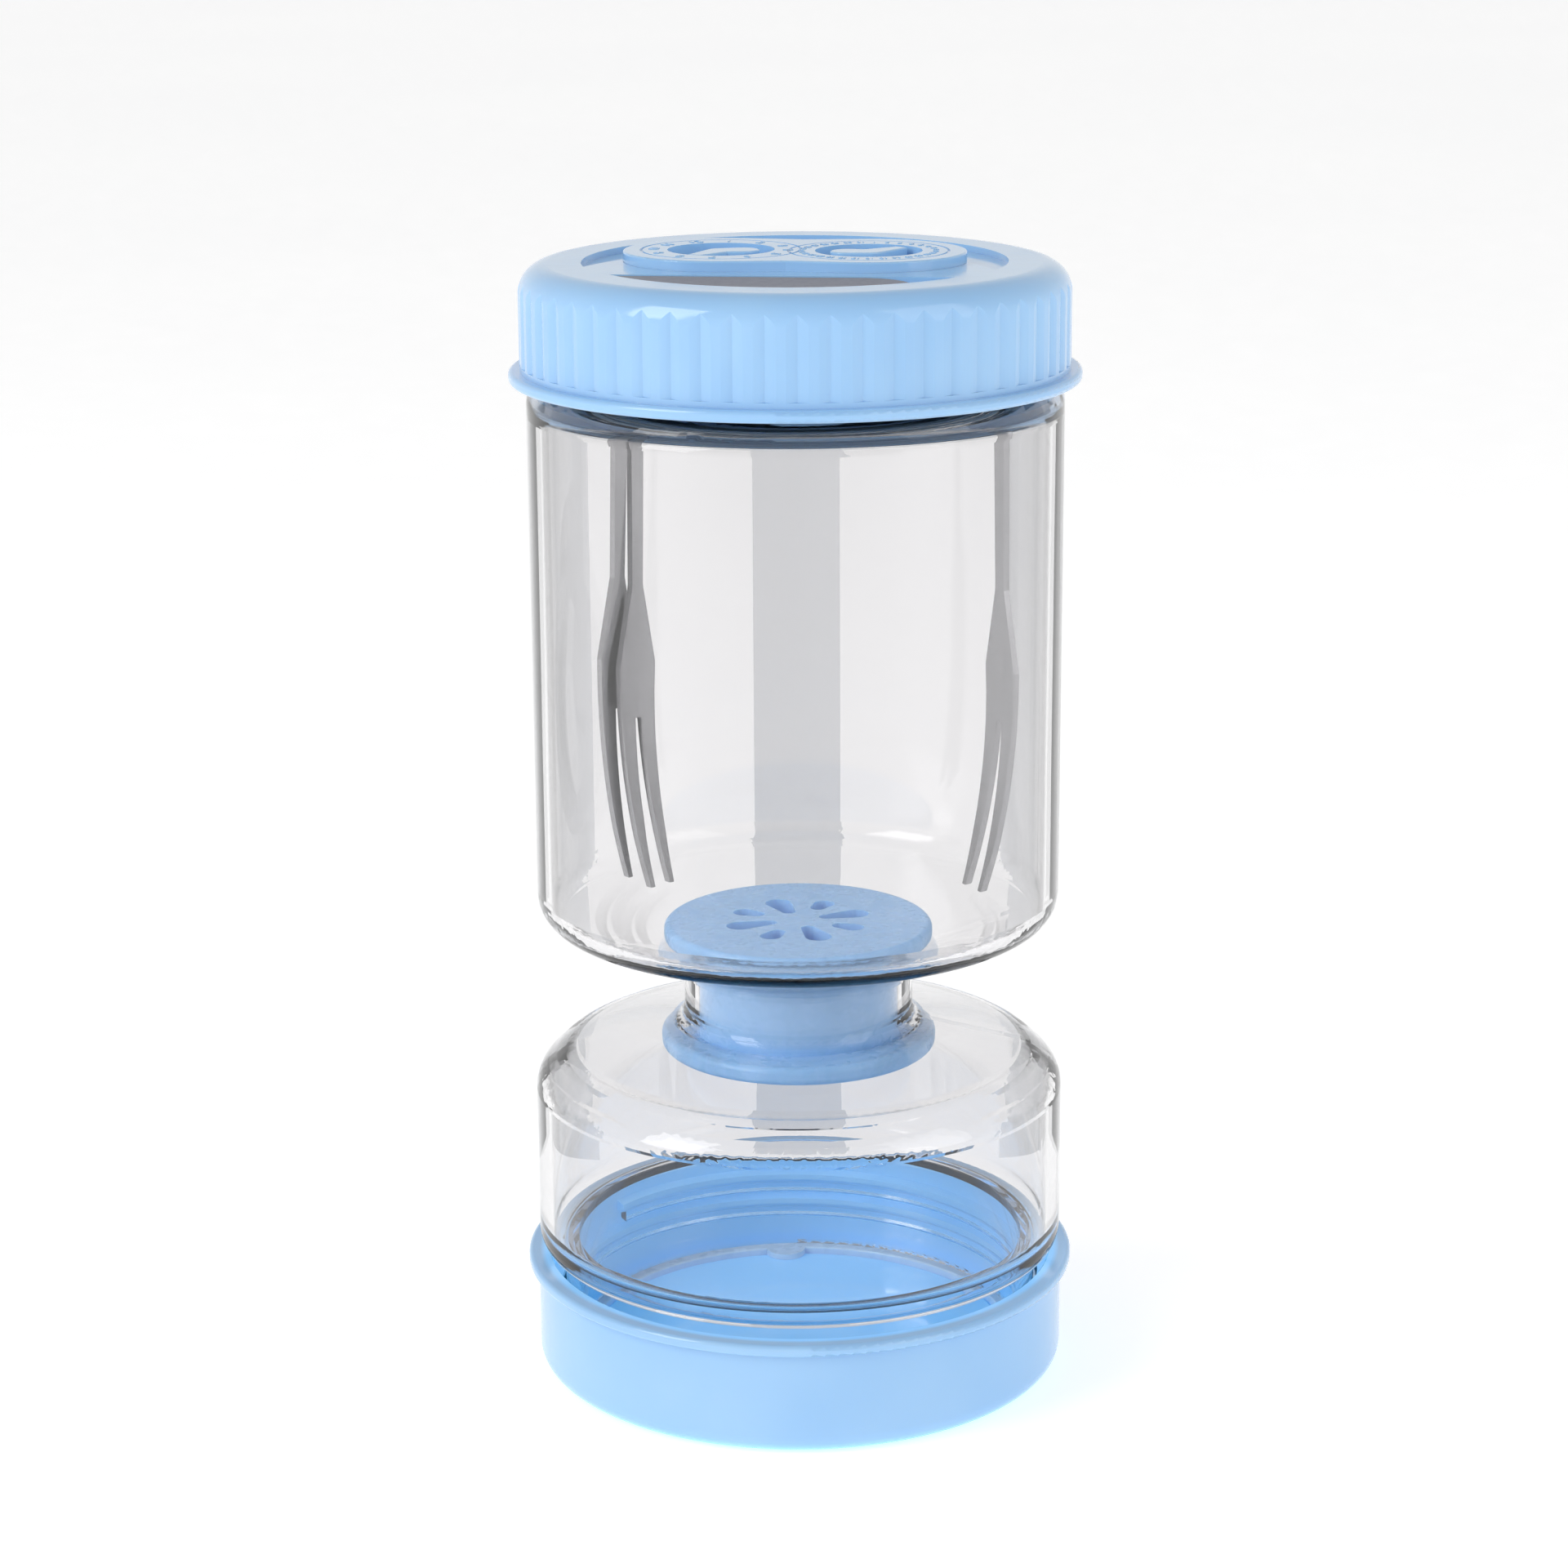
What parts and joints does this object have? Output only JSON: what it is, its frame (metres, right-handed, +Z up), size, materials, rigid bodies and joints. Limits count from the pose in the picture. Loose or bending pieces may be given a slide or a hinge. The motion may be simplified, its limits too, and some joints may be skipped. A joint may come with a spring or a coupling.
{
  "type": "brine draining jar",
  "caption": "Hourglass glass jar with a strainer in its waist, a screw base, a ribbed screw lid with date dials, and small forks inside.",
  "frame": {"origin": "centre of the base cap's foot, on the table, on the jar's axis", "axes": "+Z up along the jar's axis; -Y is the front, where the grey label is; +X is the viewer's right"},
  "size_m": [0.1, 0.1, 0.2043],
  "materials": {
    "blue_cap": "glossy light blue polypropylene, opaque",
    "blue_lid": "glossy light blue polypropylene, opaque, ribbed wall",
    "dial": "glossy light blue plastic with raised numbers",
    "pointer": "glossy light blue plastic",
    "label": "matte grey film label",
    "strainer": "soft light blue silicone, satin",
    "seal": "milky translucent silicone",
    "steel": "satin stamped stainless steel, bright sheared edges",
    "glass": "clear colourless glass, 2.5 mm wall"
  },
  "bodies": {
    "base_cap": {"base_cap": "blue_cap"},
    "base_seal_ring": {"base_seal": "seal"},
    "jar": {"glass_jar": "glass", "strainer_plug": "strainer"},
    "lid_seal_ring": {"lid_seal": "seal"},
    "lid": {"ribbed_lid": "blue_lid", "dial_plate": "dial", "front_label": "label"},
    "month_pointer": {"month_pointer": "pointer"},
    "day_pointer": {"day_pointer": "pointer"},
    "fork_left_front": {"fork_left_front": "steel"},
    "fork_left_back": {"fork_left_back": "steel"},
    "fork_right": {"fork_right": "steel"}
  },
  "joints": [
    {"name": "jar_rise", "type": "slide", "parent": "base_cap", "child": "base_seal_ring", "axis": [0, 0, 1], "range_m": [0, 0.02]},
    {"name": "jar_turn", "type": "hinge", "parent": "base_seal_ring", "child": "jar", "pos_m": [0, 0, 0], "axis": [0, 0, 1], "range_deg": [0, 1440]},
    {"name": "lid_rise", "type": "slide", "parent": "jar", "child": "lid_seal_ring", "axis": [0, 0, 1], "range_m": [0, 0.02]},
    {"name": "lid_turn", "type": "hinge", "parent": "lid_seal_ring", "child": "lid", "pos_m": [0, 0, 0], "axis": [0, 0, 1], "range_deg": [0, 1440]},
    {"name": "month_pointer_turn", "type": "hinge", "parent": "lid", "child": "month_pointer", "pos_m": [-0.01278, 0.00134, 0.2035], "axis": [0, 0, 1], "continuous": true},
    {"name": "day_pointer_turn", "type": "hinge", "parent": "lid", "child": "day_pointer", "pos_m": [0.01278, -0.00134, 0.2035], "axis": [0, 0, 1], "continuous": true},
    {"name": "fork_left_front_lift", "type": "slide", "parent": "jar", "child": "fork_left_front", "axis": [0, 0, 1], "range_m": [0, 0.016]},
    {"name": "fork_left_back_lift", "type": "slide", "parent": "jar", "child": "fork_left_back", "axis": [0, 0, 1], "range_m": [0, 0.016]},
    {"name": "fork_right_lift", "type": "slide", "parent": "jar", "child": "fork_right", "axis": [0, 0, 1], "range_m": [0, 0.016]}
  ],
  "couplings": [
    {"joint": "jar_rise", "follows": "jar_turn", "m_per_rad": 0.00079577},
    {"joint": "lid_rise", "follows": "lid_turn", "m_per_rad": 0.00079577},
    {"joint": "fork_left_front_lift", "follows": "lid_turn", "m_per_rad": 0.00063662},
    {"joint": "fork_left_back_lift", "follows": "lid_turn", "m_per_rad": 0.00063662},
    {"joint": "fork_right_lift", "follows": "lid_turn", "m_per_rad": 0.00063662}
  ]
}
